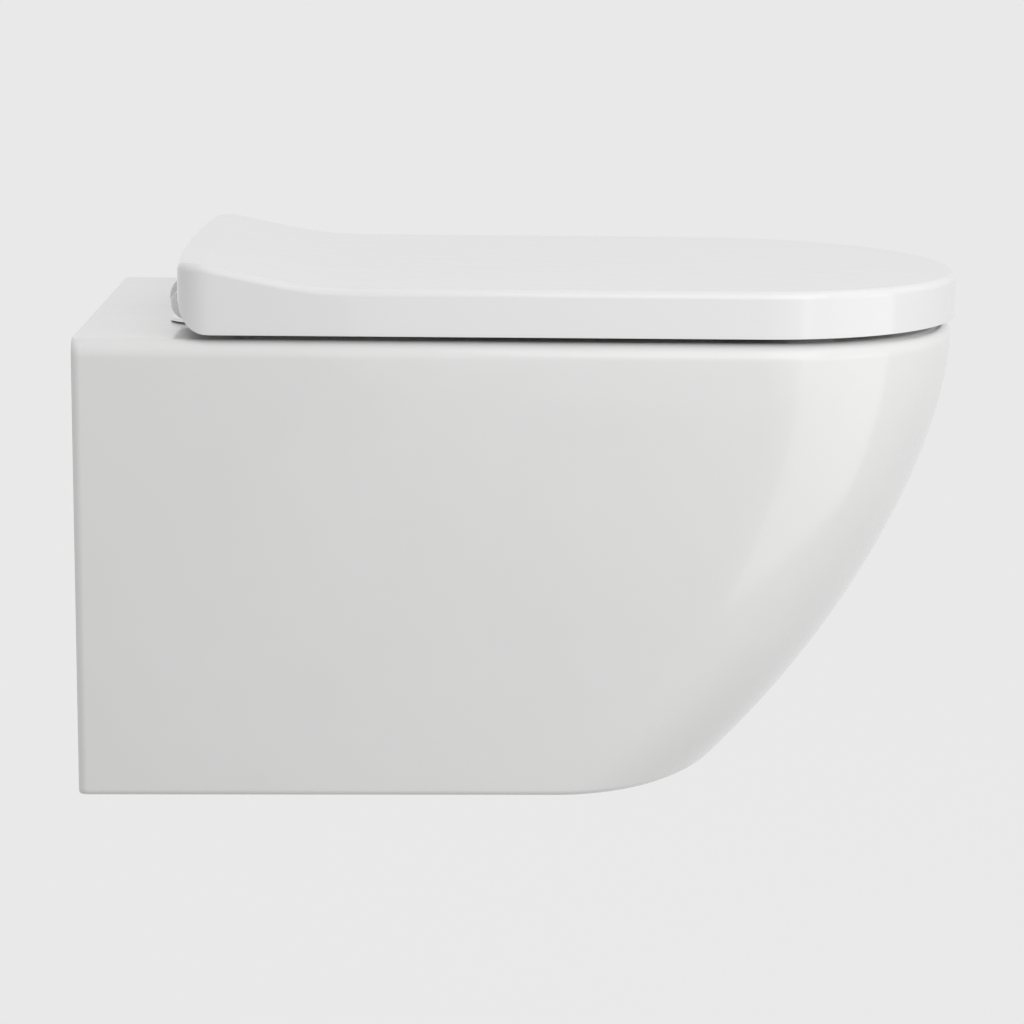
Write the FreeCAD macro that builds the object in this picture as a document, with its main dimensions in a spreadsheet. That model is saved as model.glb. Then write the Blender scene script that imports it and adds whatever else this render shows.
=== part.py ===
"""Wall hung toilet: a glazed ceramic pan, its hinged seat and wrap-over lid, and their fixings.

Frame: millimetres, +Z up, the front faces -Y, the wall is the plane Y = 0.
The origin is midway between the two wall studs, on the wall.
Every height called "depth" is measured down from the deck, the pan's flat top.
"""
import FreeCAD, Part
import math
import os

import Sketcher
from FreeCAD import Matrix, Placement, Rotation, Vector

SIZES = {
    # ceramic pan, outside
    "deck_height": 80.0, "pan_width": 360.0, "side_taper": 8.0, "deck_edge": 10.0, "base_edge": 4.0,
    "depth_1": 70.0, "depth_2": 140.0, "depth_3": 210.0, "pan_depth": 272.0,
    # the front's reach at the deck, and how far it has gone back at each depth
    "pan_reach": 538.0, "set_back_1": 12.0, "set_back_2": 42.5, "set_back_3": 88.0, "set_back_base": 143.5,
    "nose_deck": 140.0, "nose_base": 97.0,
    # ceramic walls
    "shell_wall": 10.0, "deck_wall": 12.0, "rear_plate": 13.0, "bowl_wall": 9.0, "trap_wall": 8.0,
    # bowl, from its rim down to the sump
    "bowl_rear": 190.0, "bowl_length": 310.0, "bowl_width": 270.0, "bowl_depth": 260.0,
    # waste passage
    "trap_bore": 60.0, "trap_turn": 42.0, "sump_depth": 226.0, "crest_depth": 120.0, "crest_out": 128.0,
    "sump_out": 275.0,
    "outlet_depth": 180.0, "spigot_width": 102.0, "spigot_length": 44.0, "spigot_mouth": 84.0,
    "mouth_length": 18.0, "mouth_taper": 24.0, "arch_width": 160.0,
    # flush inlet
    "inlet_depth": 45.0, "horn_bore": 55.0, "horn_length": 42.0, "horn_wall": 9.0, "duct_bore": 40.0,
    # wall fixing
    "stud_spacing": 180.0, "stud_bore": 12.5, "sleeve_width": 24.0, "sleeve_flange": 34.0,
    "flange_thick": 3.0, "clamp_width": 28.0, "clamp_length": 34.0, "clamp_screw": 8.0,
    "clamp_screw_long": 32.0,
    "screw_point": 2.0, "screw_head": 13.0, "screw_head_high": 8.0, "hex_key": 6.0,
    # seat fixing
    "post_spacing": 155.0, "post_out": 72.5, "post_hole": 22.0, "gasket_thick": 0.8, "gasket_inset": 1.0,
    "rosette_width": 46.0, "rosette_thick": 1.7, "rosette_bevel": 1.0, "peg_width": 12.0, "peg_top": 19.0,
    "peg_bevel": 1.5, "seat_bolt": 8.0, "bolt_in_post": 8.0, "bolt_length": 58.0, "bolt_point": 1.0,
    "rubber_length": 36.0, "rubber_bulge": 26.0, "nut_width": 20.0, "nut_length": 10.0, "nut_bevel": 2.0,
    # hinges
    "axis_out": 63.5, "axis_up": 16.0, "block_width": 27.0, "block_round": 13.0, "block_front": 24.5,
    "block_edge": 2.5, "pocket_depth": 6.5, "pin_width": 8.0, "lug_round": 9.5, "damper_width": 15.0,
    "lid_lug_long": 38.0, "seat_lug_long": 41.0, "damper_long": 35.0, "shaft_in_damper": 26.0,
    "bush_long": 20.0, "button_width": 9.0, "button_up": 22.0, "button_high": 8.3, "button_bevel": 0.6,
    # lid: set in from the pan's sides, and standing out past its front
    "lid_inset": 2.0, "lid_overhang": 2.0, "lid_rear": 61.0, "lid_gap": 3.2, "lid_top": 31.0,
    "lid_skin": 4.0, "lid_edge": 5.0, "lid_rear_corner": 15.0, "lid_heel": 17.0, "ramp_end": 157.0,
    "ramp_round": 250.0, "ramp_angle": 11.3, "lid_notch_up": 30.5,
    # seat
    "seat_margin": 3.0, "seat_under": 5.0, "seat_top": 22.0, "seat_rear": 92.5, "seat_edge": 6.0,
    "seat_hole_rear": 212.0, "seat_hole_length": 254.0, "seat_hole_width": 214.0, "seat_hole_edge": 6.0,
    # rubber buffers, the front ones set back from the lid's tip, all set in from its sides
    "buffer_width": 12.0, "buffer_long": 30.0, "lid_buffer": 14.0,
    "rear_buffer_out": 150.0, "rear_buffer_inset": 66.0, "front_buffer_back": 110.0, "front_buffer_inset": 40.0,
    "lid_buffer_back": 65.0, "lid_buffer_inset": 86.0,
    # clearances
    "pin_fit": 0.06, "seat_fit": 0.05, "side_play": 1.0, "rest_gap": 0.3, "hole_play": 0.3,
}

doc = FreeCAD.newDocument("wall_hung_toilet")
sheet = doc.addObject("Spreadsheet::Sheet", "Sizes")
for row, (alias, value) in enumerate(SIZES.items(), start=1):
    sheet.set("A%d" % row, alias)
    sheet.set("B%d" % row, str(value))
    sheet.setAlias("B%d" % row, alias)
doc.recompute()

FULL_TURN = 360.0
QUARTER = 90.0
SPARE = 1.0     # how far a cutting shape runs past what it cuts
TOUCH = 0.05    # how near two things are when they count as touching
FIRST_GUESS = 2.0   # where a sketch's corners start, before its sizes place them
nodes = []


def size(alias):
    """The value of a cell of the sheet."""
    return float(getattr(sheet, alias))


def node(thing, label):
    """Marks a document object as a finished piece, whose Label names its file."""
    thing.Label = label
    nodes.append(thing)
    return thing


def at(across, out, up):
    """A point given as across (+X), out from the wall, and up from the deck."""
    return Vector(across, -out, size("deck_height") + up)


def bind(thing, formulas):
    """Ties properties of a document object to formulas of the sheet's cells."""
    for name, formula in formulas.items():
        thing.setExpression(name, formula)


def stand(thing, across, out, up, turn=None):
    """Ties a document object's place to formulas, in the at() sense; turn is (axis, angle)."""
    if turn:
        thing.Placement = Placement(Vector(), Rotation(turn[0], turn[1]))
    bind(thing, {".Placement.Base.x": across, ".Placement.Base.y": "-(%s)" % out,
                 ".Placement.Base.z": "Sizes.deck_height + %s" % up})


def plane(body, role):
    """One of a body's own origin planes."""
    return next(f for f in body.Origin.OriginFeatures if f.Role == role)


def polygon(sketch, corners):
    """Draws a closed outline whose corners are pairs of formulas; "0" puts a corner on that axis."""
    count = len(corners)
    for i in range(count):
        angle = math.radians(FULL_TURN * i / count)
        nxt = math.radians(FULL_TURN * (i + 1) / count)
        start = Vector(FIRST_GUESS + math.cos(angle), FIRST_GUESS + math.sin(angle), 0)
        end = Vector(FIRST_GUESS + math.cos(nxt), FIRST_GUESS + math.sin(nxt), 0)
        sketch.addGeometry(Part.LineSegment(start, end), False)
    for i in range(count):
        sketch.addConstraint(Sketcher.Constraint("Coincident", i, 2, (i + 1) % count, 1))
    for i, corner in enumerate(corners):
        for formula, axis, kind in zip(corner, (-2, -1), ("DistanceX", "DistanceY")):
            if formula == "0":
                sketch.addConstraint(Sketcher.Constraint("PointOnObject", i, 1, axis))
            else:
                index = sketch.addConstraint(Sketcher.Constraint(kind, -1, 1, i, 1, FIRST_GUESS + i))
                sketch.setExpression("Constraints[%d]" % index, formula)


def turned(name, corners):
    """A turned piece: an outline of (radius, height) formulas revolved about its own Z axis."""
    body = doc.addObject("PartDesign::Body", name)
    sketch = body.newObject("Sketcher::SketchObject", name + "_outline")
    sketch.AttachmentSupport = [(plane(body, "XZ_Plane"), "")]
    sketch.MapMode = "FlatFace"
    polygon(sketch, corners)
    turn = body.newObject("PartDesign::Revolution", name + "_turn")
    turn.Profile = sketch
    turn.ReferenceAxis = (sketch, ["V_Axis"])
    turn.Angle = FULL_TURN
    return body


def ring(name, outer, inner, length):
    """A plain turned ring or bush."""
    return turned(name, [(inner, "0"), (outer, "0"), (outer, length), (inner, length)])


def mirrored(thing, name):
    """The same piece on the other side of the middle plane."""
    copy = doc.addObject("Part::Mirroring", name)
    copy.Source = thing
    copy.Normal = Vector(1, 0, 0)
    return copy


def pair(thing, label):
    """A node of two like pieces, one on each side."""
    group = doc.addObject("Part::Compound", label)
    group.Links = [thing, mirrored(thing, thing.Name + "_left")]
    return node(group, label)


def feature(label, shape):
    """A piece whose shape is made from curves and lofts."""
    thing = doc.addObject("Part::Feature", label)
    thing.Shape = shape
    return node(thing, label)


def cylinder(name, radius, height):
    thing = doc.addObject("Part::Cylinder", name)
    bind(thing, {"Radius": radius, "Height": height})
    return thing


def block(name, across, out, up):
    thing = doc.addObject("Part::Box", name)
    bind(thing, {"Length": across, "Width": out, "Height": up})
    return thing


def fused(name, pieces):
    thing = doc.addObject("Part::MultiFuse", name)
    thing.Shapes = pieces
    thing.Refine = True
    return thing


def cut(name, base, tools):
    tool = tools[0] if len(tools) == 1 else fused(name + "_tools", tools)
    thing = doc.addObject("Part::Cut", name)
    thing.Base = base
    thing.Tool = tool
    return thing


# ---------------------------------------------------------------- outlines of the pan, seat and lid

def nose_outline(half, rear, reach, nose, up):
    """A closed plan outline: flat back, straight sides and a half ellipse in front."""
    shoulder = reach - nose
    arc = Part.makeCircle(1.0, Vector(), Vector(0, 0, 1), FULL_TURN / 2, FULL_TURN)
    stretch = Matrix()
    stretch.scale(half, nose, 1.0)
    arc = arc.transformGeometry(stretch)
    arc.translate(at(0, shoulder, up))
    corners = [at(half, shoulder, up), at(half, rear, up), at(-half, rear, up), at(-half, shoulder, up)]
    lines = [Part.makeLine(a, b) for a, b in zip(corners, corners[1:])]
    return Part.Wire([arc] + lines)


def oval(middle_out, long, wide, up):
    """An ellipse lying flat, long way out from the wall."""
    circle = Part.makeCircle(1.0)
    stretch = Matrix()
    stretch.scale(wide / 2, long / 2, 1.0)
    circle = circle.transformGeometry(stretch)
    circle.translate(at(0, middle_out, up))
    return Part.Wire([circle])


def upright(outline):
    """Whether an edge stands on end."""
    tangent = outline.tangentAt(outline.ParameterRange[0])
    return abs(tangent.z) > 0.9


def rim_edges(shape, outline, low, high):
    """The edges of a shape that follow a plan outline, between two heights."""
    level = outline.Vertexes[0].Z
    found = []
    for edge in shape.Edges:
        first, last = edge.ParameterRange
        middle = edge.valueAt((first + last) / 2)
        flat = Part.Vertex(middle.x, middle.y, level)
        on_outline = flat.distToShape(outline)[0] < TOUCH
        if on_outline and low < middle.z < high and not upright(edge):
            found.append(edge)
    return found


def along_wall(across, out, up, radius, length):
    """A round bar that runs out from the wall."""
    return Part.makeCylinder(radius, length, at(across, out, up), Vector(0, -1, 0))


def down(across, out, up, radius, length):
    """A round bar that hangs down from a height."""
    return Part.makeCylinder(radius, length, at(across, out, up), Vector(0, 0, -1))


def across_bar(start, out, up, radius, length):
    """A round bar that runs across, towards +X."""
    return Part.makeCylinder(radius, length, at(start, out, up), Vector(1, 0, 0))


def slab(across_low, across_high, out_low, out_high, up_low, up_high):
    """A plain rectangular piece between the given limits."""
    return Part.makeBox(across_high - across_low, out_high - out_low, up_high - up_low,
                        at(across_low, out_high, up_low))


# ---------------------------------------------------------------- ceramic pan

LEVELS = [(None, None), ("set_back_1", "depth_1"), ("set_back_2", "depth_2"), ("set_back_3", "depth_3"),
          ("set_back_base", "pan_depth")]
# each row of the bowl: how deep, how far back it starts, how long and how wide, as shares of the rim's
BOWL_ROWS = [(0.0, 0.0, 1.0, 1.0), (0.23, 0.055, 0.92, 0.91), (0.54, 0.115, 0.68, 0.66),
             (0.77, 0.135, 0.40, 0.42), (1.0, 0.18, 0.20, 0.23)]


def pan_loft(inset, rear, top, bottom_inset):
    """The pan's outer form, or the same form drawn in by a wall."""
    wires = []
    deep = size("pan_depth")
    for set_back, depth in LEVELS:
        fall = size(depth) if depth else 0.0
        reach = size("pan_reach") - (size(set_back) if set_back else 0.0) - inset
        share = fall / deep
        half = size("pan_width") / 2 - size("side_taper") * share - inset
        nose = size("nose_deck") + (size("nose_base") - size("nose_deck")) * share - inset
        up = -top - (deep - top - bottom_inset) * share
        wires.append(nose_outline(half, rear, reach, nose, up))
    return Part.makeLoft(wires, True, False)


def pan_outside():
    solid = pan_loft(0.0, -SPARE, 0.0, 0.0)
    deck = size("deck_height")
    outline = nose_outline(size("pan_width") / 2, -2 * SPARE, size("pan_reach"), size("nose_deck"), 0.0)
    edges = rim_edges(solid, outline, deck - SPARE, deck + SPARE)
    solid = solid.makeFillet(size("deck_edge"), edges)
    half = size("pan_width") / 2 - size("side_taper")
    reach = size("pan_reach") - size("set_back_base")
    outline = nose_outline(half, -2 * SPARE, reach, size("nose_base"), -size("pan_depth"))
    base = deck - size("pan_depth")
    edges = rim_edges(solid, outline, base - SPARE, base + SPARE)
    solid = solid.makeFillet(size("base_edge"), edges)
    # the back is ground flat where it meets the wall
    width, deep = size("pan_width"), size("pan_depth")
    return solid.cut(slab(-width, width, -2 * SPARE, 0, -deep - SPARE, SPARE))


def bowl(grow, top):
    """The space of the bowl, or that space grown by the bowl's wall."""
    wires = []
    for deep, back, long, wide in BOWL_ROWS:
        length = size("bowl_length") * long
        middle = size("bowl_rear") + size("bowl_length") * back + length / 2
        up = -size("bowl_depth") * deep
        if deep == 0.0:
            up = top
        if deep == 1.0:
            up -= grow
        wires.append(oval(middle, length + 2 * grow, size("bowl_width") * wide + 2 * grow, up))
    return Part.makeLoft(wires, True, False)


def trap_path():
    """The waste passage's middle line: back out of the sump, up, over the crest and down to the wall."""
    turn = size("trap_turn")
    sump, crest, outlet = -size("sump_depth"), -size("crest_depth"), -size("outlet_depth")
    top = size("crest_out")
    arm = top + turn
    tilt = math.acos(1 - (crest - outlet) / (2 * turn))
    half = math.radians(QUARTER / 2)
    low = at(0, arm + turn, sump)
    up_start = at(0, arm, sump + turn)
    up_end = at(0, arm, crest - turn)
    crest_point = at(0, top, crest)
    swap = at(0, top - turn * math.sin(tilt), crest - turn * (1 - math.cos(tilt)))
    level = at(0, top - 2 * turn * math.sin(tilt), outlet)
    first = at(0, arm + turn * (1 - math.sin(half)), sump + turn * (1 - math.cos(half)))
    second = at(0, top + turn * math.sin(half), crest - turn * (1 - math.cos(half)))
    third = at(0, top - turn * math.sin(tilt / 2), crest - turn * (1 - math.cos(tilt / 2)))
    fourth = at(0, top - turn * (2 * math.sin(tilt) - math.sin(tilt / 2)),
                outlet + turn * (1 - math.cos(tilt / 2)))
    edges = [Part.LineSegment(at(0, size("sump_out"), sump), low).toShape(),
             Part.Arc(low, first, up_start).toShape(),
             Part.LineSegment(up_start, up_end).toShape(),
             Part.Arc(up_end, second, crest_point).toShape(),
             Part.Arc(crest_point, third, swap).toShape(),
             Part.Arc(swap, fourth, level).toShape(),
             Part.LineSegment(level, at(0, 0, outlet)).toShape()]
    return Part.Wire(edges)


def trap(radius):
    """A round bar bent along the waste passage."""
    start = Part.makeCircle(radius, at(0, size("sump_out"), -size("sump_depth")), Vector(0, 1, 0))
    return trap_path().makePipe(Part.Face(Part.Wire([start])))


def pan_shape():
    outlet, inlet = -size("outlet_depth"), -size("inlet_depth")
    plate, wall = size("rear_plate"), size("shell_wall")
    spigot, mouth = size("spigot_width") / 2, size("spigot_mouth") / 2
    bore, horn, duct = size("trap_bore") / 2, size("horn_bore") / 2, size("duct_bore") / 2
    duct_end = size("bowl_rear") + size("bowl_wall") + duct / 2
    outside = pan_outside()
    # the hollow between shell and bowl, cast open at the back
    hollow = pan_loft(wall, plate, size("deck_wall"), wall)
    solid = outside.cut(hollow)
    arch_half = size("arch_width") / 2
    arch = along_wall(0, 0, outlet, arch_half, plate)
    arch = arch.fuse(slab(-arch_half, arch_half, 0, plate, wall - size("pan_depth"), outlet))
    solid = solid.cut(arch)
    # walls of the bowl, the waste passage and the flush duct, kept inside the pan's own form
    skins = [bowl(size("bowl_wall"), -size("deck_wall") / 2), trap(bore + size("trap_wall")),
             along_wall(0, 0, outlet, spigot, size("spigot_length")),
             along_wall(0, 0, inlet, horn + size("horn_wall"), size("horn_length") + size("horn_wall")),
             along_wall(0, 0, inlet, duct + size("trap_wall"), duct_end)]
    for skin in skins:
        solid = solid.fuse(skin.common(outside))
    # the spaces inside them
    cone = Part.makeCone(mouth, bore - size("trap_wall"), size("mouth_taper"),
                         at(0, size("mouth_length"), outlet), Vector(0, -1, 0))
    spaces = [bowl(0.0, 0.0), trap(bore), along_wall(0, 0, outlet, mouth, size("mouth_length")), cone,
              along_wall(0, 0, inlet, horn, size("horn_length")), along_wall(0, 0, inlet, duct, duct_end)]
    for side in (-1, 1):
        stud = side * size("stud_spacing") / 2
        post = side * size("post_spacing") / 2
        spaces.append(along_wall(stud, 0, -size("deck_height"), size("sleeve_width") / 2, plate))
        spaces.append(down(post, size("post_out"), 0, size("post_hole") / 2, size("deck_wall")))
    for space in spaces:
        solid = solid.cut(space)
    return solid


feature("pan_ceramic", pan_shape())

# ---------------------------------------------------------------- lid


LID_HALF = size("pan_width") / 2 - size("lid_inset")
LID_TIP = size("pan_reach") + size("lid_overhang")
LID_NOSE = size("nose_deck") + size("lid_overhang")


def lid_profile(drop, heel):
    """The lid's side view, as a face wide enough to cut the whole lid from."""
    top, gap = size("lid_top") - drop, size("lid_gap")
    rear, front = size("lid_rear"), LID_TIP + size("lid_edge")
    back = rear - size("lid_edge")
    slope = math.radians(size("ramp_angle"))
    turn = size("ramp_round")
    flat_end = at(0, size("ramp_end"), top)
    arc_middle = at(0, size("ramp_end") - turn * math.sin(slope / 2),
                    top + turn * (1 - math.cos(slope / 2)))
    arc_out = size("ramp_end") - turn * math.sin(slope)
    arc_up = top + turn * (1 - math.cos(slope))
    arc_end = at(0, arc_out, arc_up)
    back_top = at(0, back, arc_up + (arc_out - back) * math.tan(slope))
    if heel:
        half = math.radians(QUARTER / 2)
        heel_start = at(0, rear, gap + heel)
        heel_middle = at(0, rear + heel * (1 - math.cos(half)), gap + heel * (1 - math.sin(half)))
        heel_end = at(0, rear + heel, gap)
        back_low = at(0, back, gap + heel)
        low = [Part.makeLine(back_top, back_low), Part.makeLine(back_low, heel_start),
               Part.Arc(heel_start, heel_middle, heel_end).toShape()]
        under, front_low = heel_end, at(0, front, gap)
    else:
        under, front_low = at(0, back, -top), at(0, front, -top)
        low = [Part.makeLine(back_top, under)]
    edges = low + [Part.makeLine(under, front_low), Part.makeLine(front_low, at(0, front, top)),
                   Part.makeLine(at(0, front, top), flat_end),
                   Part.Arc(flat_end, arc_middle, arc_end).toShape(), Part.makeLine(arc_end, back_top)]
    return Part.Face(Part.Wire(edges))


def lid_block(inset, drop, heel):
    """The lid's outer form, or the space inside it."""
    half = LID_HALF - inset
    rear = size("lid_rear") + inset
    high = size("lid_top") * 2
    outline = nose_outline(half, rear, LID_TIP - inset, LID_NOSE - inset, -high)
    prism = Part.Face(outline).extrude(Vector(0, 0, 2 * high))
    corners = [e for e in prism.Edges if upright(e) and abs(e.Vertexes[0].Y + rear) < TOUCH]
    prism = prism.makeFillet(size("lid_rear_corner") - inset, corners)
    profile = lid_profile(drop, heel)
    profile.translate(Vector(-2 * LID_HALF, 0, 0))
    return prism, prism.common(profile.extrude(Vector(4 * LID_HALF, 0, 0)))


def lid_shape():
    skin, gap = size("lid_skin"), size("lid_gap")
    deck = size("deck_height")
    prism, solid = lid_block(0.0, 0.0, size("lid_heel"))
    outline = prism.slice(Vector(0, 0, 1), deck)[0]
    edges = rim_edges(solid, outline, deck + size("lid_top") - SPARE, deck + 2 * size("lid_top"))
    solid = solid.makeFillet(size("lid_edge"), edges)
    solid = solid.cut(lid_block(skin, skin, 0.0)[1])
    # the back is cut away between the lid's two lugs, round the hinge blocks and the seat's lugs
    play = size("side_play")
    lug_start = size("post_spacing") / 2 + size("block_width") / 2 + play
    rear, long, lug = size("lid_rear"), size("lid_lug_long"), size("lug_round")
    axis_out, axis_up = size("axis_out"), size("axis_up")
    bore = size("damper_width") / 2 + size("seat_fit")
    solid = solid.cut(slab(-lug_start, lug_start, rear - SPARE, rear + skin + SPARE, gap - SPARE,
                           size("lid_notch_up")))
    roof = lid_block(0.0, skin / 2, size("lid_heel"))[1]
    for side in (-1, 1):
        start = lug_start if side > 0 else -lug_start - long
        web = slab(start, start + long, axis_out, axis_out + lug, axis_up, deck).common(roof)
        solid = solid.fuse(across_bar(start, axis_out, axis_up, lug, long)).fuse(web)
    for side in (-1, 1):
        start = lug_start if side > 0 else -lug_start - long
        solid = solid.cut(across_bar(start, axis_out, axis_up, bore, long))
    return solid


feature("lid_cover", lid_shape())

# ---------------------------------------------------------------- seat


def seat_shape():
    inset = size("lid_skin") + size("seat_margin")
    half = LID_HALF - inset
    under, top = size("seat_under"), size("seat_top")
    deck = size("deck_height")
    rear, edge = size("seat_rear"), size("seat_edge")
    outline = nose_outline(half, rear, LID_TIP - inset, LID_NOSE - inset, under)
    solid = Part.Face(outline).extrude(Vector(0, 0, top - under))
    corners = [e for e in solid.Edges if upright(e) and abs(e.Vertexes[0].Y + rear) < TOUCH]
    solid = solid.makeFillet(size("lid_rear_corner"), corners)
    edges = [e for e in solid.Edges if abs(e.BoundBox.ZMin - deck - top) < TOUCH]
    solid = solid.makeFillet(edge, edges)
    hole_middle = size("seat_hole_rear") + size("seat_hole_length") / 2
    hole = Part.Face(oval(hole_middle, size("seat_hole_length"), size("seat_hole_width"), under - SPARE))
    solid = solid.cut(hole.extrude(Vector(0, 0, top)))
    lip = [e for e in solid.Edges if abs(e.BoundBox.ZMin - deck - top) < TOUCH and
           e.BoundBox.XLength < size("seat_hole_width") + SPARE and
           e.BoundBox.YLength > size("seat_hole_length") / 3]
    solid = solid.makeFillet(size("seat_hole_edge"), lip)
    # two lugs reach back to the hinge axis
    lug, long = size("lug_round"), size("seat_lug_long")
    axis_out, axis_up = size("axis_out"), size("axis_up")
    bore = size("damper_width") / 2 + size("seat_fit")
    lug_end = size("post_spacing") / 2 - size("block_width") / 2 - size("side_play")
    for side in (-1, 1):
        start = lug_end - long if side > 0 else -lug_end
        arm = slab(start, start + long, axis_out, rear + edge, axis_up - lug, axis_up + lug / 2)
        solid = solid.fuse(across_bar(start, axis_out, axis_up, lug, long)).fuse(arm)
    for side in (-1, 1):
        start = lug_end - long if side > 0 else -lug_end
        solid = solid.cut(across_bar(start, axis_out, axis_up, bore, long))
    return solid


feature("seat_ring", seat_shape())


def buffer_pad(across, out, low, high):
    """A long rubber buffer with round ends."""
    radius, straight = size("buffer_width") / 2, (size("buffer_long") - size("buffer_width")) / 2
    pad = slab(across - radius, across + radius, out - straight, out + straight, low, high)
    for end in (-straight, straight):
        pad = pad.fuse(down(across, out + end, high, radius, high - low))
    return pad.removeSplitter()


SIDES = (-1, 1)
PAD_OUT = {"rear": size("rear_buffer_out"), "front": LID_TIP - size("front_buffer_back")}
seat_pads = [buffer_pad(side * (LID_HALF - size(place + "_buffer_inset")), out, size("rest_gap"),
                        size("seat_under")) for place, out in PAD_OUT.items() for side in SIDES]
feature("seat_buffers", Part.makeCompound(seat_pads))
lid_roof = size("lid_top") - size("lid_skin")
lid_pads = [down(side * (LID_HALF - size("lid_buffer_inset")), LID_TIP - size("lid_buffer_back"), lid_roof,
                 size("lid_buffer") / 2, lid_roof - size("seat_top") - size("rest_gap")) for side in SIDES]
feature("lid_buffers", Part.makeCompound(lid_pads))

# ---------------------------------------------------------------- seat fixing, through the deck

POST_X = "Sizes.post_spacing / 2"
gasket = ring("post_gasket", "Sizes.rosette_width / 2 - Sizes.gasket_inset",
              "Sizes.seat_bolt / 2 + Sizes.hole_play", "Sizes.gasket_thick")
stand(gasket, POST_X, "Sizes.post_out", "0")
pair(gasket, "post_gaskets")

peg_long = "Sizes.peg_top - Sizes.gasket_thick"
post = turned("hinge_post_right", [
    ("Sizes.seat_bolt / 2 + Sizes.seat_fit", "0"), ("Sizes.rosette_width / 2", "0"),
    ("Sizes.rosette_width / 2 - Sizes.rosette_bevel", "Sizes.rosette_thick"),
    ("Sizes.peg_width / 2", "Sizes.rosette_thick"),
    ("Sizes.peg_width / 2", peg_long + " - Sizes.peg_bevel"),
    ("Sizes.peg_width / 2 - Sizes.peg_bevel", peg_long), ("0", peg_long),
    ("0", "Sizes.bolt_in_post + Sizes.seat_fit"),
    ("Sizes.seat_bolt / 2 + Sizes.seat_fit", "Sizes.bolt_in_post + Sizes.seat_fit")])
stand(post, POST_X, "Sizes.post_out", "Sizes.gasket_thick")
node(post, "hinge_post_right")
node(mirrored(post, "hinge_post_left"), "hinge_post_left")

bolt = turned("seat_bolt", [
    ("0", "0"), ("Sizes.seat_bolt / 2 - Sizes.bolt_point", "0"), ("Sizes.seat_bolt / 2", "Sizes.bolt_point"),
    ("Sizes.seat_bolt / 2", "Sizes.bolt_length"), ("0", "Sizes.bolt_length")])
stand(bolt, POST_X, "Sizes.post_out", "Sizes.gasket_thick + Sizes.bolt_in_post - Sizes.bolt_length")
pair(bolt, "seat_bolts")

sleeve_bore = "Sizes.seat_bolt / 2 + Sizes.hole_play"
sleeve_neck = "Sizes.post_hole / 2 - Sizes.hole_play"
rubber = turned("expanding_sleeve", [
    (sleeve_bore, "0"), (sleeve_neck, "0"),
    ("Sizes.rubber_bulge / 2", "(Sizes.rubber_length - Sizes.deck_wall) / 2"),
    (sleeve_neck, "Sizes.rubber_length - Sizes.deck_wall - Sizes.rest_gap"),
    (sleeve_neck, "Sizes.rubber_length - Sizes.rest_gap"),
    (sleeve_bore, "Sizes.rubber_length - Sizes.rest_gap")])
stand(rubber, POST_X, "Sizes.post_out", "0 - Sizes.rubber_length")
pair(rubber, "expanding_sleeves")

nut = turned("bolt_nut", [
    ("Sizes.seat_bolt / 2 + Sizes.seat_fit", "0"), ("Sizes.nut_width / 2 - Sizes.nut_bevel", "0"),
    ("Sizes.nut_width / 2", "Sizes.nut_bevel"), ("Sizes.nut_width / 2", "Sizes.nut_length"),
    ("Sizes.seat_bolt / 2 + Sizes.seat_fit", "Sizes.nut_length")])
stand(nut, POST_X, "Sizes.post_out", "0 - Sizes.rubber_length - Sizes.nut_length")
pair(nut, "sleeve_nuts")

# ---------------------------------------------------------------- hinge blocks and release buttons

AXIS_ALONG_X = (Vector(0, 1, 0), QUARTER)
BLOCK_IN = "Sizes.post_spacing / 2 - Sizes.block_width / 2"
BLOCK_OUT = "Sizes.post_spacing / 2 + Sizes.block_width / 2"
barrel = cylinder("block_barrel", "Sizes.block_round", "Sizes.block_width")
stand(barrel, BLOCK_IN, "Sizes.axis_out", "Sizes.axis_up", AXIS_ALONG_X)
nose = block("block_nose", "Sizes.block_width", "Sizes.block_front", "2 * Sizes.block_round")
stand(nose, BLOCK_IN, "(Sizes.axis_out + Sizes.block_front)", "Sizes.axis_up - Sizes.block_round")
block_body = fused("block_body", [barrel, nose])
doc.recompute()
rounded = doc.addObject("Part::Fillet", "block_rounded")
rounded.Base = block_body
front_y = -(size("axis_out") + size("block_front"))
rounded.Edges = [(i + 1, size("block_edge"), size("block_edge"))
                 for i, e in enumerate(block_body.Shape.Edges) if e.BoundBox.YMax < front_y + TOUCH]
peg_bore = cylinder("peg_bore", "Sizes.peg_width / 2 + Sizes.pin_fit", "Sizes.peg_top + Sizes.rest_gap")
stand(peg_bore, POST_X, "Sizes.post_out", "0")
button_bore = cylinder("button_bore", "Sizes.button_width / 2 + Sizes.pin_fit", "2 * Sizes.block_round")
stand(button_bore, POST_X, "Sizes.post_out", "Sizes.axis_up")
pocket_in = cylinder("pocket_in", "Sizes.pin_width / 2 + Sizes.seat_fit", "Sizes.pocket_depth")
stand(pocket_in, BLOCK_IN, "Sizes.axis_out", "Sizes.axis_up", AXIS_ALONG_X)
pocket_out = cylinder("pocket_out", "Sizes.pin_width / 2 + Sizes.seat_fit", "Sizes.pocket_depth")
stand(pocket_out, BLOCK_OUT + " - Sizes.pocket_depth", "Sizes.axis_out", "Sizes.axis_up", AXIS_ALONG_X)
hinge_block = cut("hinge_block_right", rounded, [peg_bore, button_bore, pocket_in, pocket_out])
node(hinge_block, "hinge_block_right")
node(mirrored(hinge_block, "hinge_block_left"), "hinge_block_left")

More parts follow.
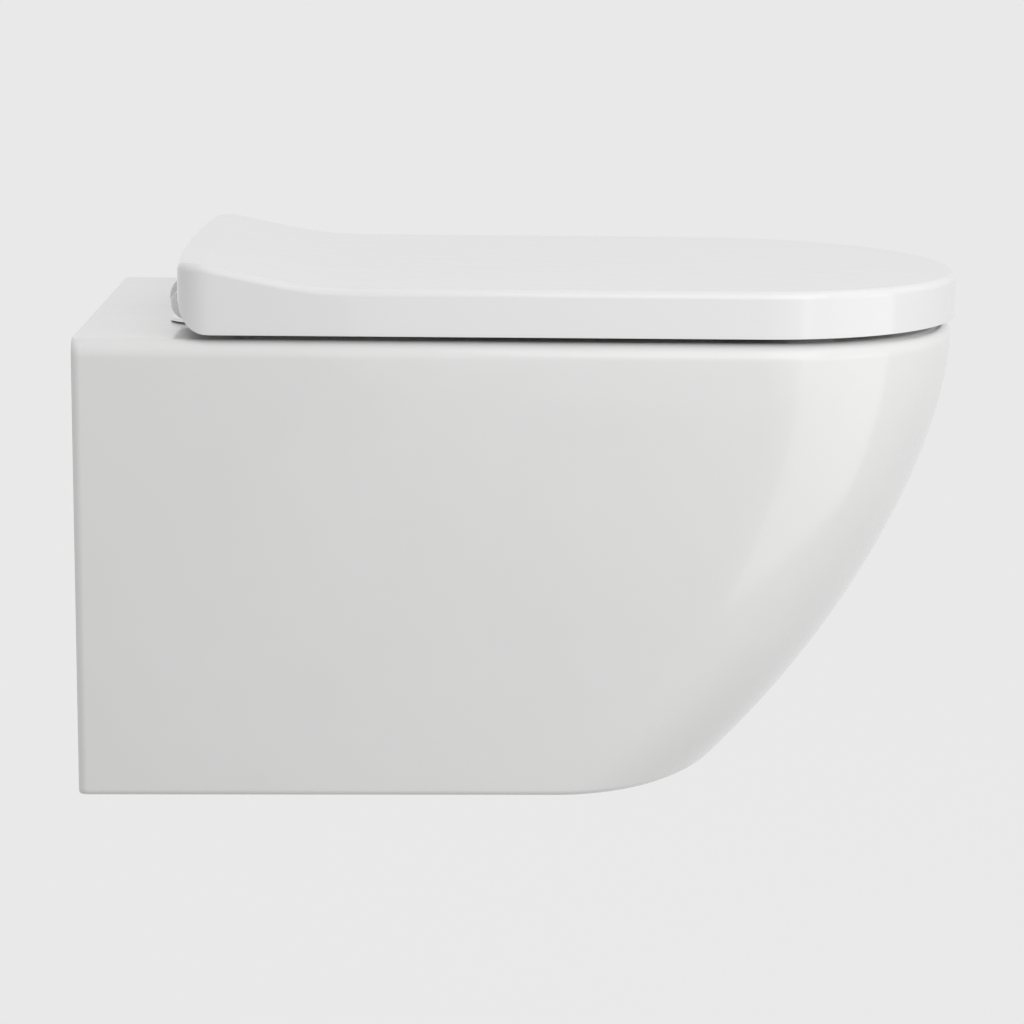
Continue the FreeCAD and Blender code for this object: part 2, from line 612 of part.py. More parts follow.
button = turned("release_button_right", [
    ("0", "0"), ("Sizes.button_width / 2", "0"),
    ("Sizes.button_width / 2", "Sizes.button_high - Sizes.button_bevel"),
    ("Sizes.button_width / 2 - Sizes.button_bevel", "Sizes.button_high"), ("0", "Sizes.button_high")])
stand(button, POST_X, "Sizes.post_out", "Sizes.button_up")
node(button, "release_button_right")
node(mirrored(button, "release_button_left"), "release_button_left")

# ---------------------------------------------------------------- hinge pins, bushes and dampers

PIN_RADIUS = "Sizes.pin_width / 2"
RUNNING_BORE = "Sizes.pin_width / 2 + Sizes.pin_fit"
LUG_FIT = "Sizes.damper_width / 2"
SHORT_PIN = "Sizes.bush_long + Sizes.pocket_depth"
LONG_PIN = "Sizes.shaft_in_damper + Sizes.pocket_depth"


def shaft(name, length, start):
    """A hinge pin along the axis, from one of a block's pockets into a lug."""
    pin = turned(name, [("0", "0"), (PIN_RADIUS, "0"), (PIN_RADIUS, length), ("0", length)])
    stand(pin, start, "Sizes.axis_out", "Sizes.axis_up", AXIS_ALONG_X)
    return node(pin, name)


def damper(name, start):
    """A damper's closed barrel, whose bore opens towards its hinge block."""
    long = "Sizes.damper_long"
    floor = "Sizes.damper_long - Sizes.shaft_in_damper - Sizes.rest_gap"
    barrel = turned(name, [("0", "0"), (LUG_FIT, "0"), (LUG_FIT, long), (RUNNING_BORE, long),
                           (RUNNING_BORE, floor), ("0", floor)])
    stand(barrel, start, "Sizes.axis_out", "Sizes.axis_up", AXIS_ALONG_X)
    return node(barrel, name)


def bush(name, start):
    """A plain bush for a hinge pin."""
    sleeve = ring(name, LUG_FIT, RUNNING_BORE, "Sizes.bush_long")
    stand(sleeve, start, "Sizes.axis_out", "Sizes.axis_up", AXIS_ALONG_X)
    return node(sleeve, name)


PLAY = "Sizes.side_play"
# left block: the lid's damper outside it, the seat's plain pin inside it
damper("lid_damper", "-(%s + %s + Sizes.damper_long)" % (BLOCK_OUT, PLAY))
shaft("lid_damper_shaft", LONG_PIN + " + " + PLAY + " - Sizes.rest_gap",
      "-(%s + %s + Sizes.shaft_in_damper)" % (BLOCK_OUT, PLAY))
bush("seat_bush", "-(%s - %s)" % (BLOCK_IN, PLAY))
shaft("seat_pin", SHORT_PIN + " + " + PLAY + " - Sizes.rest_gap",
      "-(%s + Sizes.pocket_depth - Sizes.rest_gap)" % BLOCK_IN)
# right block: the seat's damper inside it, the lid's plain pin outside it
damper("seat_damper", "%s - %s - Sizes.damper_long" % (BLOCK_IN, PLAY))
shaft("seat_damper_shaft", LONG_PIN + " + " + PLAY + " - Sizes.rest_gap",
      "%s - %s - Sizes.shaft_in_damper" % (BLOCK_IN, PLAY))
bush("lid_bush", "%s + %s" % (BLOCK_OUT, PLAY))
shaft("lid_pin", SHORT_PIN + " + " + PLAY + " - Sizes.rest_gap",
      "%s - Sizes.pocket_depth + Sizes.rest_gap" % BLOCK_OUT)

# ---------------------------------------------------------------- wall fixing

STUD_X = "Sizes.stud_spacing / 2"
STUD_DOWN = "0 - Sizes.deck_height"
OUT_FROM_WALL = (Vector(1, 0, 0), QUARTER)
sleeve = turned("stud_sleeve", [
    ("Sizes.stud_bore / 2", "0"), ("Sizes.sleeve_width / 2 - Sizes.seat_fit", "0"),
    ("Sizes.sleeve_width / 2 - Sizes.seat_fit", "Sizes.rear_plate"),
    ("Sizes.sleeve_flange / 2", "Sizes.rear_plate"),
    ("Sizes.sleeve_flange / 2", "Sizes.rear_plate + Sizes.flange_thick"),
    ("Sizes.stud_bore / 2", "Sizes.rear_plate + Sizes.flange_thick")])
stand(sleeve, STUD_X, "0", STUD_DOWN, OUT_FROM_WALL)
pair(sleeve, "stud_sleeves")

clamp_start = "(Sizes.rear_plate + Sizes.flange_thick)"
clamp_box = block("clamp_box", "Sizes.clamp_width", "Sizes.clamp_length", "Sizes.clamp_width")
stand(clamp_box, STUD_X + " - Sizes.clamp_width / 2", clamp_start + " + Sizes.clamp_length",
      STUD_DOWN + " - Sizes.clamp_width / 2")
clamp_bore = cylinder("clamp_bore", "Sizes.stud_bore / 2", "Sizes.clamp_length")
stand(clamp_bore, STUD_X, clamp_start, STUD_DOWN, OUT_FROM_WALL)
clamp_thread = cylinder("clamp_thread", "Sizes.clamp_screw / 2 + Sizes.seat_fit", "Sizes.clamp_width")
stand(clamp_thread, STUD_X, clamp_start + " + Sizes.clamp_length / 2", STUD_DOWN)
clamp = cut("clamp_block", clamp_box, [clamp_bore, clamp_thread])
pair(clamp, "clamp_blocks")

screw = turned("clamp_screw", [
    ("0", "0"), ("Sizes.clamp_screw / 2 - Sizes.screw_point", "0"),
    ("Sizes.clamp_screw / 2", "Sizes.screw_point"),
    ("Sizes.clamp_screw / 2", "Sizes.clamp_screw_long"), ("Sizes.screw_head / 2", "Sizes.clamp_screw_long"),
    ("Sizes.screw_head / 2", "Sizes.clamp_screw_long + Sizes.screw_head_high"),
    ("Sizes.hex_key / 2", "Sizes.clamp_screw_long + Sizes.screw_head_high"),
    ("Sizes.hex_key / 2", "Sizes.clamp_screw_long + Sizes.screw_head_high / 2"),
    ("0", "Sizes.clamp_screw_long + Sizes.screw_head_high / 2")])
stand(screw, STUD_X, clamp_start + " + Sizes.clamp_length / 2",
      STUD_DOWN + " + Sizes.stud_bore / 2 + Sizes.rest_gap")
pair(screw, "clamp_screws")

# ---------------------------------------------------------------- checks and files

doc.recompute()
for thing in doc.Objects:
    if "Invalid" in thing.State or "Error" in thing.State:
        raise RuntimeError("%s could not be built" % thing.Label)
os.makedirs("parts", exist_ok=True)
for piece in nodes:
    shape = piece.Shape
    if shape.isNull() or not shape.isValid():
        raise RuntimeError("%s has no valid shape" % piece.Label)
    shape.exportStep("parts/%s.step" % piece.Label)
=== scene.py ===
import math

import bmesh
import bpy
from mathutils import Matrix, Vector


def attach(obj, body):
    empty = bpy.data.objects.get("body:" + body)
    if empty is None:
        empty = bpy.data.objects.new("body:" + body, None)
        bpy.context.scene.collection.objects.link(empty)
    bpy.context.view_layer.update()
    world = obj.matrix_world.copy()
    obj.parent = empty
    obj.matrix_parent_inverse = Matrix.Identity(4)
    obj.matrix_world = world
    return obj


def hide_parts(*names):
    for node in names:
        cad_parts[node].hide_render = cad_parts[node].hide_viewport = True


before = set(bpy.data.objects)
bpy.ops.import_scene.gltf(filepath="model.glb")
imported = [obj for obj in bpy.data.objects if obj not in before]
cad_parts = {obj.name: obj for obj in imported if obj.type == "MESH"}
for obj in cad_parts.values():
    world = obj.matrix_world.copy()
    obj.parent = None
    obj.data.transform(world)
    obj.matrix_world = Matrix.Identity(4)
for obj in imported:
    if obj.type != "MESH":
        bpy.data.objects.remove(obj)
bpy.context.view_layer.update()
scene = bpy.context.scene

# ---------------------------------------------------------------- the pan
# One slip-cast piece of vitreous china: straight sides, a flat deck, a front that sweeps back under the
# bowl, and a hollow open at the wall. It is glazed all over except inside the hollow and on the ground back.

DECK = 80.0                 # height of the deck over the wall studs, mm
PAN_HALF, PAN_REACH, PAN_DEEP = 179.99, 538.0, 272.0
SIDE_TAPER = 8.0
NOSE_DECK, NOSE_BASE = 140.0, 112.0
# how far the front is drawn back at depths under the deck
SET_BACK = [(0.0, 0.0), (70.0, 12.0), (140.0, 42.5), (210.0, 88.0), (272.0, 143.5)]
DECK_ROUND, BASE_ROUND, BACK_ROUND = 10.0, 4.0, 5.5
# the bowl's depth, its set-back, its length and its width, as shares of the sizes below
BOWL_SHARES = [(0.0, 0.0, 1.0, 1.0), (0.23, 0.055, 0.92, 0.91), (0.54, 0.115, 0.68, 0.66),
               (0.77, 0.135, 0.40, 0.42), (1.0, 0.18, 0.20, 0.23)]
BOWL_REAR, BOWL_LONG, BOWL_WIDE, BOWL_DEEP = 190.0, 310.0, 270.0, 260.0
RIM_ROUND, SUMP_ROUND = 9.0, 10.0
OUTLET, INLET = -180.0, -45.0
SUMP_EXIT, WASTE_BEND = (275.0, -226.0), 42.0
# the waste passage's runs, as (straight length, turn in degrees)
WASTE_RUNS = [(63.0, 0.0), (0.0, -90.0), (22.0, 0.0), (0.0, 90.0), (0.0, 73.4), (0.0, -73.4), (49.0, 0.0)]
POSTS, POST_OUT, STUDS = 77.5, 72.5, 90.0


def at(across, out, up):
    """A point across the pan, out from the wall and up from the deck, given in mm."""
    return Vector((across, -out, DECK + up)) / 1000


def through(knots, where):
    """The smooth curve through a few (place, value) knots."""
    total = 0.0
    for i, (here, value) in enumerate(knots):
        for j, (other, _) in enumerate(knots):
            if i != j:
                value *= (where - other) / (here - other)
        total += value
    return total


def plan(half, rear, reach, nose, corner, steps=20):
    """The plan outline, (across, out), from the middle of the back round to it again."""
    shoulder = reach - nose
    side = [((half - corner) * i / 10, rear) for i in range(10)]
    for i in range(8):
        turn = math.radians(90 * i / 8)
        side.append((half - corner + corner * math.sin(turn), rear + corner - corner * math.cos(turn)))
    side += [(half, rear + corner + (shoulder - rear - corner) * i / steps) for i in range(steps)]
    for i in range(44):
        turn = math.radians(90 * i / 44)
        side.append((half * math.cos(turn), shoulder + nose * math.sin(turn)))
    return side + [(0.0, reach)] + [(-x, y) for x, y in reversed(side[1:])]


def strips(rows, count, closed=False):
    """The four-sided faces between the rows of a skin, and on to its first row again if it is closed."""
    faces = []
    for row in range(rows if closed else rows - 1):
        low, high = row * count, (row + 1) % rows * count
        faces += [(low + i, low + (i + 1) % count, high + (i + 1) % count, high + i) for i in range(count)]
    return faces


def shell(name, loops, faces):
    """A mesh piece over rows of points, with all its faces turned outward."""
    shape = bpy.data.meshes.new(name)
    shape.from_pydata([p for loop in loops for p in loop], [], faces)
    work = bmesh.new()
    work.from_mesh(shape)
    bmesh.ops.recalc_face_normals(work, faces=work.faces)
    work.to_mesh(shape)
    work.free()
    made = bpy.data.objects.new(name, shape)
    scene.collection.objects.link(made)
    return made


def piece(name, loops, body=None):
    """A closed skin over a row of loops of points, capped at both ends."""
    count = len(loops[0])
    last = (len(loops) - 1) * count
    caps = [tuple(reversed(range(count))), tuple(range(last, last + count))]
    made = shell(name, loops, caps + strips(len(loops), count))
    if body:
        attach(made, body)
    return made


def carve(thing, tools, how="DIFFERENCE"):
    """Cuts shapes out of a piece, or with UNION joins them to it, and uses them up."""
    for tool in tools:
        step = thing.modifiers.new("carve", "BOOLEAN")
        step.operation = how
        step.object = tool
        step.solver = "EXACT"
        step.material_mode = "TRANSFER"
    settled = bpy.context.evaluated_depsgraph_get()
    shape = bpy.data.meshes.new_from_object(thing.evaluated_get(settled))
    thing.modifiers.clear()
    thing.data = shape
    for tool in tools:
        bpy.data.objects.remove(tool)


def soften(thing, sharp=32.0):
    """Smooth shading that keeps the real edges and lets flat faces stay flat."""
    thing.data.shade_smooth()
    thing.data.set_sharp_from_angle(angle=math.radians(sharp))
    flat = thing.modifiers.new("flat faces stay flat", "WEIGHTED_NORMAL")
    flat.keep_sharp = True


def pan_row(fall, inset, rear=0.0, corner=BACK_ROUND):
    """The pan's outline at a depth under the deck, drawn in by an inset."""
    share = fall / PAN_DEEP
    outline = plan(PAN_HALF - SIDE_TAPER * share - inset, rear, PAN_REACH - through(SET_BACK, fall) - inset,
                   NOSE_DECK + (NOSE_BASE - NOSE_DECK) * share - inset, corner)
    return [at(x, y, -fall) for x, y in outline]


def bowl_row(fall, grow):
    """The bowl's outline at a depth, grown by a margin, seen at the same bearings as the pan's outline."""
    share = min(max(fall / BOWL_DEEP, 0.0), 1.0)
    back, long, wide = (through([(row[0], row[k]) for row in BOWL_SHARES], share) for k in (1, 2, 3))
    half_long, half_wide = BOWL_LONG * long / 2 + grow, BOWL_WIDE * wide / 2 + grow
    middle = BOWL_REAR + BOWL_LONG * (back + long / 2)
    row = []
    for x, y in plan(PAN_HALF, 0.0, PAN_REACH, NOSE_DECK, BACK_ROUND):
        turn = math.atan2((y - BOWL_REAR - BOWL_LONG / 2) / half_long, x / half_wide)
        row.append(at(half_wide * math.cos(turn), middle + half_long * math.sin(turn), -fall))
    return row


def quarter(steps):
    """Steps along a quarter round, as (how far in, how far down) shares of its radius."""
    return [(1 - math.sin(math.radians(90 * i / steps)), 1 - math.cos(math.radians(90 * i / steps)))
            for i in range(steps + 1)]


def circle(sides):
    """The bearings of evenly spaced points round a circle."""
    return [math.tau * i / sides for i in range(sides)]


def round_bar(name, start, end, radius):
    """A round bar between two points given in mm, for drilling."""
    start, end = at(*start), at(*end)
    lie = (end - start).to_track_quat("Z", "Y")
    ring = [lie @ Vector((math.cos(a), math.sin(a), 0)) * radius / 1000 for a in circle(72)]
    return piece(name, [[middle + p for p in ring] for middle in (start, end)])


def waste_way(radius):
    """The waste passage: back out of the sump, up, over the crest and down to the wall."""
    (out, up), heading = SUMP_EXIT, 180.0
    loops = []

    def ring():
        lean = math.radians(heading + 90)
        loops.append([at(radius * math.cos(a), out + radius * math.sin(a) * math.cos(lean),
                         up + radius * math.sin(a) * math.sin(lean)) for a in circle(48)])

    ring()
    for straight, turn in WASTE_RUNS:
        parts = 1 if straight else 12
        for _ in range(parts):
            stride = straight or 2 * WASTE_BEND * math.sin(math.radians(abs(turn) / parts / 2))
            heading += turn / parts / 2
            out += stride * math.cos(math.radians(heading))
            up += stride * math.sin(math.radians(heading))
            heading += turn / parts / 2
            ring()
    return piece("waste_way", loops)


def stepped_bar(name, across, up, profile):
    """A round bar along the wall's normal whose radius changes, as (out, radius) pairs."""
    return piece(name, [[at(across + r * math.cos(a), out, up + r * math.sin(a)) for a in circle(64)]
                        for out, r in profile])


# the pan's skin, from the middle of its base out and up its sides, over the deck and down into the bowl
rows = [pan_row(PAN_DEEP, 60.0)]
rows += [pan_row(PAN_DEEP - BASE_ROUND * down, BASE_ROUND * inward) for inward, down in quarter(5)]
for step in range(1, 31):
    rows.append(pan_row(PAN_DEEP - BASE_ROUND - (PAN_DEEP - BASE_ROUND - DECK_ROUND) * step / 30, 0.0))
rows += [pan_row(DECK_ROUND * down, DECK_ROUND * (1 - math.sqrt(1 - (1 - down) ** 2)))
         for down in (0.8, 0.6, 0.43, 0.28, 0.16, 0.07, 0.02, 0.0)]
rows.append(pan_row(0.0, DECK_ROUND + 1.5))
rows.append(bowl_row(0.0, RIM_ROUND + 1.5))
rows += [bowl_row(RIM_ROUND * down, RIM_ROUND * inward) for inward, down in quarter(9)]
for step in range(1, 33):
    rows.append(bowl_row(RIM_ROUND + (BOWL_DEEP - SUMP_ROUND - RIM_ROUND) * step / 32, 0.0))
for a in range(10, 91, 16):
    rows.append(bowl_row(BOWL_DEEP - SUMP_ROUND * (1 - math.sin(math.radians(a))),
                         -SUMP_ROUND * (1 - math.cos(math.radians(a)))))
rows.append(bowl_row(BOWL_DEEP, -20.0))
pan = piece("pan", rows)

# the space inside the casting, between its outer wall and the walls of the bowl and the waterways
WALL, DECK_WALL, PLATE, BOWL_WALL = 10.0, 12.0, 13.0, 9.0
WASTE_R, WASTE_WALL, BEND_HALF = 30.0, 8.0, 80.0
hollow_rows = []
for step in range(25):
    fall = PAN_DEEP * step / 24
    row = pan_row(fall, WALL, PLATE, 3.0)
    level = at(0, 0, -DECK_WALL - (PAN_DEEP - DECK_WALL - WALL) * step / 24).z
    hollow_rows.append([Vector((p.x, p.y, level)) for p in row])
hollow = piece("hollow", hollow_rows)
bowl_wall = [bowl_row(-4.0, BOWL_WALL)]
bowl_wall += [bowl_row(BOWL_DEEP * step / 30, BOWL_WALL) for step in range(1, 31)]
bowl_wall.append([p - Vector((0, 0, BOWL_WALL / 1000)) for p in bowl_wall[-1]])
carve(hollow, [piece("bowl_wall", bowl_wall), waste_way(WASTE_R + WASTE_WALL),
               stepped_bar("spigot", 0.0, OUTLET, [(-1.0, 51.0), (44.0, 51.0)]),
               stepped_bar("horn", 0.0, INLET, [(-1.0, 36.5), (51.0, 36.5)]),
               stepped_bar("duct", 0.0, INLET, [(-1.0, 28.0), (215.0, 28.0)])])
# the arched opening in the back, where the waste bend comes in round the spigot
arch = []
for a in range(0, 181, 5):
    turn = math.radians(a)
    arch.append((BEND_HALF * math.cos(turn), OUTLET + BEND_HALF * math.sin(turn)))
arch += [(-BEND_HALF, WALL - PAN_DEEP), (BEND_HALF, WALL - PAN_DEEP)]
recess = piece("recess", [[at(x, out, up) for x, up in arch] for out in (-1.0, PLATE + 0.5)])
carve(recess, [stepped_bar("spigot", 0.0, OUTLET, [(-2.0, 51.0), (44.0, 51.0)])])


def grained(name, colour, shade, contrast, grain, detail, relief):
    """A finish whose tone and relief come from one fine noise, and its shader, texture place and bump."""
    finish = bpy.data.materials.new(name)
    finish.use_nodes = True
    nodes, links = finish.node_tree.nodes, finish.node_tree.links
    shader = nodes["Principled BSDF"]
    place = nodes.new("ShaderNodeTexCoord")
    grains = nodes.new("ShaderNodeTexNoise")
    grains.inputs["Scale"].default_value = grain
    grains.inputs["Detail"].default_value = detail
    links.new(place.outputs["Object"], grains.inputs["Vector"])
    tint = nodes.new("ShaderNodeValToRGB")
    dark, light = tint.color_ramp.elements
    dark.position, light.position = contrast
    dark.color = (*(c * shade for c in colour), 1)
    light.color = (*colour, 1)
    links.new(grains.outputs["Fac"], tint.inputs["Fac"])
    links.new(tint.outputs["Color"], shader.inputs["Base Color"])
    bump = nodes.new("ShaderNodeBump")
    bump.inputs["Distance"].default_value = relief
    links.new(grains.outputs["Fac"], bump.inputs["Height"])
    links.new(bump.outputs["Normal"], shader.inputs["Normal"])
    return finish, shader, place, bump


def skin(name, colour, roughness, coat, grain, relief, shade):
    """Fired clay, glaze, plastic or rubber."""
    finish, shader, _, _ = grained(name, colour, shade, (0.35, 0.65), grain, 3.0, relief)
    shader.inputs["Roughness"].default_value = roughness
    shader.inputs["Coat Weight"].default_value = coat
    shader.inputs["Coat Roughness"].default_value = 0.04
    return finish


glaze = skin("white_glaze", (0.86, 0.86, 0.855), 0.16, 0.4, 14.0, 0.0006, 0.985)
bisque = skin("unglazed_china", (0.74, 0.71, 0.66), 0.85, 0.0, 220.0, 0.0004, 0.92)
pan.data.materials.append(glaze)
hollow.data.materials.append(bisque)
recess.data.materials.append(bisque)
carve(pan, [hollow, recess])
bores = [waste_way(WASTE_R), stepped_bar("mouth", 0.0, OUTLET, [(-1.0, 42.0), (18.0, 42.0), (42.0, 22.0)]),
         stepped_bar("inlet", 0.0, INLET, [(-1.0, 27.5), (42.0, 27.5), (42.0, 20.0), (210.0, 20.0)])]
for side in (-1, 1):
    bores.append(stepped_bar("stud_hole", side * STUDS, -DECK, [(-1.0, 12.0), (PLATE + 1, 12.0)]))
    bores.append(round_bar("post_hole", (side * POSTS, POST_OUT, 1.0),
                           (side * POSTS, POST_OUT, -DECK_WALL - 1), 11.0))
for bore in bores:
    bore.data.materials.append(glaze)
carve(pan, bores)
raw = pan.data.materials.find("unglazed_china")
for face in pan.data.polygons:
    if face.center.y > -0.0004:
        face.material_index = raw
soften(pan)
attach(pan, "pan")
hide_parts("pan_ceramic")

# ---------------------------------------------------------------- the wall fixings
# A nylon sleeve lines each stud hole. Inside the pan a zinc-plated block slides on the stud, and its screw,
# turned with a hex key, wedges the block so that it draws the pan against the wall.


def metal(name, colour, roughness, pitch=0.0):
    """Steel or plate with fine tool marks, and with a screw thread if its pitch in mm is given."""
    finish, shader, place, bump = grained(name, colour, 0.86, (0.0, 1.0), 900.0, 4.0, 0.00003)
    shader.inputs["Metallic"].default_value = 1.0
    shader.inputs["Roughness"].default_value = roughness
    nodes, links = finish.node_tree.nodes, finish.node_tree.links
    if pitch:
        thread = nodes.new("ShaderNodeTexWave")
        thread.bands_direction = "Z"
        thread.inputs["Scale"].default_value = 1000.0 / pitch / 20.0 * math.pi
        links.new(place.outputs["Object"], thread.inputs["Vector"])
        flank = nodes.new("ShaderNodeBump")
        flank.inputs["Distance"].default_value = pitch * 0.0005
        links.new(thread.outputs["Fac"], flank.inputs["Height"])
        links.new(flank.outputs["Normal"], bump.inputs["Normal"])
    return finish


def dress(finish, *names):
    """Gives CAD nodes a finish."""
    for name in names:
        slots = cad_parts[name].data.materials
        slots.clear()
        slots.append(finish)


nylon = skin("nylon", (0.80, 0.79, 0.74), 0.45, 0.0, 120.0, 0.00008, 0.95)
dress(nylon, "stud_sleeves", "sleeve_nuts", "seat_bush", "lid_bush")
dress(metal("zinc_plate", (0.68, 0.68, 0.66), 0.42), "clamp_blocks")
dress(metal("threaded_steel", (0.66, 0.66, 0.66), 0.32, 1.25), "clamp_screws", "seat_bolts")

# ---------------------------------------------------------------- the seat's fixing through the deck
# A chromed post stands on a black rubber gasket over each deck hole. The bolt under it pulls a nylon nut up
# into a rubber sleeve, which swells and grips the ceramic from inside.

black_rubber = skin("black_rubber", (0.035, 0.035, 0.035), 0.7, 0.0, 500.0, 0.00006, 0.75)
dress(black_rubber, "post_gaskets", "expanding_sleeves")
dress(metal("chrome_plate", (0.78, 0.79, 0.81), 0.08), "hinge_post_right", "hinge_post_left")

# ---------------------------------------------------------------- the hinge blocks, buttons and pins
# Two moulded blocks drop on the posts' pegs and carry the steel pins of the lid and the seat. A push button
# on top of each lets the seat lift off for cleaning. One pin of each turns in a soft-close damper.

AXIS_OUT, AXIS_UP = 63.5, 16.0
BLOCK_HALF, BLOCK_R, BLOCK_FRONT, BLOCK_EDGE = 13.5, 13.0, 24.5, 2.5
white_plastic = skin("white_moulding", (0.84, 0.84, 0.83), 0.26, 0.1, 60.0, 0.0001, 0.98)
for side, hand in ((1, "right"), (-1, "left")):
    loops = []
    for inward, off in [(1, 0), (0.6, 0.08), (0.3, 0.3), (0.08, 0.6), (0, 1)]:
        loops.append((0.8 * inward, -BLOCK_HALF + 0.8 * off))
    loops += [(inset, -off) for inset, off in reversed(loops)]
    shapes = []
    for inset, off in loops:
        r, corner = BLOCK_R - inset, BLOCK_EDGE - inset
        outline = [(-r * math.sin(math.radians(a)), r * math.cos(math.radians(a))) for a in range(0, 181, 6)]
        for mid, start in (((BLOCK_FRONT - BLOCK_EDGE, -BLOCK_R + BLOCK_EDGE), 180),
                           ((BLOCK_FRONT - BLOCK_EDGE, BLOCK_R - BLOCK_EDGE), 90)):
            outline += [(mid[0] + corner * math.sin(math.radians(start - a)),
                         mid[1] + corner * math.cos(math.radians(start - a))) for a in range(0, 91, 15)]
        shapes.append([at(side * POSTS + off, AXIS_OUT + o, AXIS_UP + u) for o, u in outline])
    block = piece("hinge_block_" + hand + "_moulding", shapes, "hinge_carrier")
    tools = []
    for name, low, high, radius in (("peg_bore", 1.0, 19.3, 6.06), ("button_bore", AXIS_UP, 40.0, 4.56)):
        tools.append(round_bar(name, (side * POSTS, POST_OUT, low), (side * POSTS, POST_OUT, high), radius))
    tools += [round_bar("pocket", (side * POSTS + end * 7.0, AXIS_OUT, AXIS_UP),
                        (side * POSTS + end * 15.0, AXIS_OUT, AXIS_UP), 4.05) for end in (-1, 1)]
    for shape in [block] + tools:
        shape.data.materials.append(white_plastic)
    carve(block, tools)
    soften(block)
    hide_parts("hinge_block_" + hand)
dress(skin("button_plastic", (0.42, 0.43, 0.45), 0.35, 0.0, 300.0, 0.00004, 0.93),
      "release_button_right", "release_button_left")
dress(skin("damper_plastic", (0.17, 0.175, 0.18), 0.4, 0.0, 300.0, 0.00005, 0.9),
      "lid_damper", "seat_damper")
dress(metal("ground_pin", (0.64, 0.65, 0.67), 0.22),
      "lid_damper_shaft", "lid_pin", "seat_damper_shaft", "seat_pin")

# ---------------------------------------------------------------- the seat
# A ring pressed from white thermoset, crowned from its outer edge down to the hole, with two lugs moulded at
# the back for the hinge pins. Four rubber buffers under it rest on the deck.

SEAT_HALF, SEAT_REAR, SEAT_REACH, SEAT_NOSE, SEAT_CORNER = 171.0, 92.5, 533.0, 135.0, 15.0
SEAT_UNDER, SEAT_TOP = 5.0, 22.0
HOLE_MIDDLE, HOLE_LONG, HOLE_WIDE = 339.0, 254.0, 214.0
SEAT_LUG_IN, SEAT_LUG_OUT, LUG_R, LUG_BORE = 22.0, 63.0, 9.5, 7.55


def seat_point(turn, share, inset, up):
    """A point of the seat's skin: a share of the way from the outer edge in to the hole, on one bearing."""
    outer, inner = turn
    across = outer[0] + (inner[0] - outer[0]) * share
    out = outer[1] + (inner[1] - outer[1]) * share
    reach = math.hypot(inner[0] - outer[0], inner[1] - outer[1])
    return at(across + (inner[0] - outer[0]) / reach * inset, out + (inner[1] - outer[1]) / reach * inset, up)


rim = plan(SEAT_HALF, SEAT_REAR, SEAT_REACH, SEAT_NOSE, SEAT_CORNER, 40)
turns = []
for x, y in rim:
    bearing = math.atan2((y - HOLE_MIDDLE) / HOLE_LONG, x / HOLE_WIDE)
    turns.append(((x, y), (HOLE_WIDE / 2 * math.cos(bearing),
                           HOLE_MIDDLE + HOLE_LONG / 2 * math.sin(bearing))))
# the ring's section, from its under side out round the edge, over the crown and down into the hole
section = [(0.0, 1.2, SEAT_UNDER), (0.0, 0.5, SEAT_UNDER + 0.2), (0.0, 0.15, SEAT_UNDER + 0.6),
           (0.0, 0.0, SEAT_UNDER + 1.2)]
section += [(0.0, 7.0 * (1 - math.cos(math.radians(a))), 14.6 + 6.4 * math.sin(math.radians(a)))
            for a in range(0, 76, 9)]
for step in range(1, 12):
    share = step / 12
    crown = 1.1 * abs(2 * share - 1) ** 2.2 + 0.9 * share ** 3
    section.append((share, 7.0 * (1 - share) - 8.0 * share, SEAT_TOP - crown))
section += [(1.0, -8.0 * (1 - math.sin(math.radians(a))), 12.0 + 8.0 * math.cos(math.radians(a)))
            for a in range(9, 91, 9)]
section += [(1.0, 0.0, SEAT_UNDER + 1.2), (1.0, -0.35, SEAT_UNDER + 0.35), (1.0, -1.2, SEAT_UNDER)]
levels = [[seat_point(turn, share, inset, up) for turn in turns] for share, inset, up in section]
seat = shell("seat", levels, strips(len(levels), len(rim), closed=True))
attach(seat, "seat")
thermoset = skin("white_thermoset", (0.88, 0.88, 0.88), 0.13, 0.5, 9.0, 0.0004, 0.99)
seat.data.materials.append(thermoset)


def box(name, across, out, up):
    """A block between two limits on each of the three ways."""
    return piece(name, [[at(x, out[i], up[j]) for i, j in ((0, 0), (1, 0), (1, 1), (0, 1))] for x in across])


def lug(name, side, start, end, radius):
    """A round lug along the hinge axis, its ends eased."""
    loops = []
    for inset, off in ((1.0, 0.0), (0.3, 0.3), (0.0, 1.0)):
        loops.append((start + off, radius - inset))
    loops += [(start + end - x, r) for x, r in reversed(loops)]
    return piece(name, [[at(side * x, AXIS_OUT + r * math.cos(a), AXIS_UP + r * math.sin(a))
                         for a in circle(64)] for x, r in loops])


lugs = []
for side in (-1, 1):
    lugs.append(lug("seat_lug", side, SEAT_LUG_IN, SEAT_LUG_OUT, LUG_R))
    lugs.append(box("seat_arm", sorted((side * (SEAT_LUG_IN + 1), side * (SEAT_LUG_OUT - 1))),
                    (AXIS_OUT, 99.0), (AXIS_UP - LUG_R + 0.02, 20.6)))
for shape in lugs:
    shape.data.materials.append(thermoset)
carve(seat, lugs, "UNION")
carve(seat, [round_bar("lug_bore", (side * (SEAT_LUG_IN + 5.6), AXIS_OUT, AXIS_UP),
                       (side * (SEAT_LUG_OUT + 1), AXIS_OUT, AXIS_UP), LUG_BORE) for side in (-1, 1)])
soften(seat)
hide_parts("seat_ring")
dress(skin("buffer_rubber", (0.70, 0.70, 0.69), 0.6, 0.0, 400.0, 0.00004, 0.94),
      "seat_buffers", "lid_buffers")

# ---------------------------------------------------------------- the lid
# A thin shell pressed from the same thermoset. It overhangs the seat all round and rises towards its hinge,
# where it is cut away for the blocks. Two lugs at the back hold its pins, and two buffers rest on the seat.

